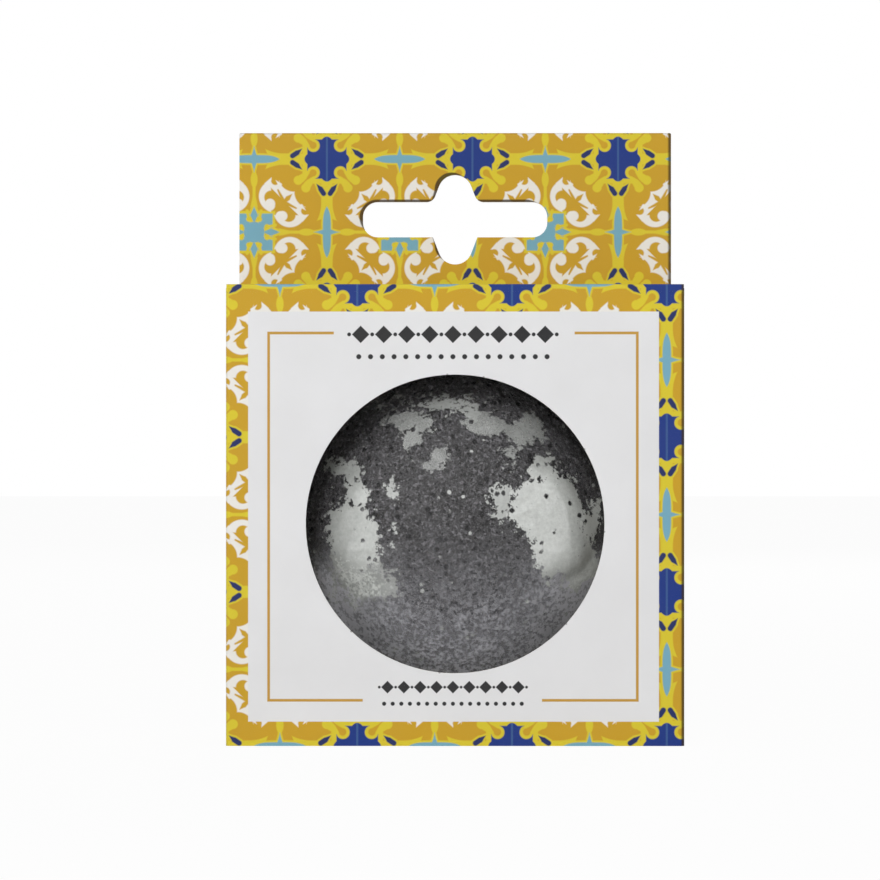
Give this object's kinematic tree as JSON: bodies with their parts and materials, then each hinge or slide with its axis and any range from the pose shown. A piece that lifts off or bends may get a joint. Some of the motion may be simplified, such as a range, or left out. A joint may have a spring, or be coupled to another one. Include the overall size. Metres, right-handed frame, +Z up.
{
  "type": "boxed konjac sponge",
  "caption": "Half-ball konjac sponge sealed in clear film inside a folded tuck-end window carton with a euro-slot hanging header.",
  "frame": {"origin": "centre of the carton's footprint, on the plane that it stands on", "axes": "+Z up along the carton's height, -Y out of the window, +X to the right as seen from the front"},
  "size_m": [0.076, 0.04, 0.1045],
  "materials": {
    "printed_board": "printed coated carton board, satin",
    "plain_board": "uncoated white carton board",
    "board_glue": "dried dispersion glue",
    "sponge": "charcoal grey fine open-pored konjac fibre",
    "film": "clear glossy shrink film"
  },
  "bodies": {
    "carton": {"front_panel": "printed_board", "left_side_panel": "printed_board", "right_side_panel": "printed_board", "back_panel": "printed_board", "header_front_layer": "printed_board", "header_glue": "board_glue", "glue_flap": "plain_board", "side_seam_glue": "board_glue"},
    "lid": {"lid_panel": "printed_board"},
    "lid_tuck": {"lid_tuck_flap": "printed_board"},
    "top_dust_left": {"top_dust_flap_left": "plain_board"},
    "top_dust_right": {"top_dust_flap_right": "plain_board"},
    "bottom": {"bottom_panel": "printed_board"},
    "bottom_tuck": {"bottom_tuck_flap": "printed_board"},
    "bottom_dust_left": {"bottom_dust_flap_left": "plain_board"},
    "bottom_dust_right": {"bottom_dust_flap_right": "plain_board"},
    "wrapped_sponge": {"sponge": "sponge", "film_front": "film", "film_back": "film"}
  },
  "joints": [
    {"name": "sponge_lift", "type": "slide", "parent": "carton", "child": "wrapped_sponge", "axis": [0, 0, 1], "range_m": [0, 0.0691]},
    {"name": "lid_hinge", "type": "hinge", "parent": "carton", "child": "lid", "pos_m": [0, -0.01975, 0.07625], "axis": [1, 0, 0], "range_deg": [0, 180]},
    {"name": "lid_tuck_crease", "type": "hinge", "parent": "lid", "child": "lid_tuck", "pos_m": [0, 0.01835, 0.07625], "axis": [1, 0, 0], "range_deg": [0, 36.1]},
    {"name": "top_dust_left_crease", "type": "hinge", "parent": "carton", "child": "top_dust_left", "pos_m": [-0.03775, 0, 0.07565], "axis": [0, -1, 0], "range_deg": [0, 140.5]},
    {"name": "top_dust_right_crease", "type": "hinge", "parent": "carton", "child": "top_dust_right", "pos_m": [0.03775, 0, 0.07565], "axis": [0, 1, 0], "range_deg": [0, 140.5]},
    {"name": "bottom_hinge", "type": "hinge", "parent": "carton", "child": "bottom", "pos_m": [0, 0.01975, 0.00025], "axis": [1, 0, 0], "range_deg": [0, 180]},
    {"name": "bottom_tuck_crease", "type": "hinge", "parent": "bottom", "child": "bottom_tuck", "pos_m": [0, -0.01895, 0.00025], "axis": [1, 0, 0], "range_deg": [0, 36.1]},
    {"name": "bottom_dust_left_crease", "type": "hinge", "parent": "carton", "child": "bottom_dust_left", "pos_m": [-0.03775, 0, 0.00085], "axis": [0, 1, 0], "range_deg": [0, 140.5]},
    {"name": "bottom_dust_right_crease", "type": "hinge", "parent": "carton", "child": "bottom_dust_right", "pos_m": [0.03775, 0, 0.00085], "axis": [0, -1, 0], "range_deg": [0, 140.5]}
  ],
  "couplings": [
    {"joint": "lid_hinge", "follows": "sponge_lift", "rad_per_m": 45.455},
    {"joint": "lid_tuck_crease", "follows": "sponge_lift", "rad_per_m": 9.0909},
    {"joint": "top_dust_left_crease", "follows": "sponge_lift", "rad_per_m": 35.455},
    {"joint": "top_dust_right_crease", "follows": "sponge_lift", "rad_per_m": 35.455},
    {"joint": "bottom_tuck_crease", "follows": "bottom_hinge", "ratio": 0.2},
    {"joint": "bottom_dust_left_crease", "follows": "bottom_hinge", "ratio": 0.78},
    {"joint": "bottom_dust_right_crease", "follows": "bottom_hinge", "ratio": 0.78}
  ]
}
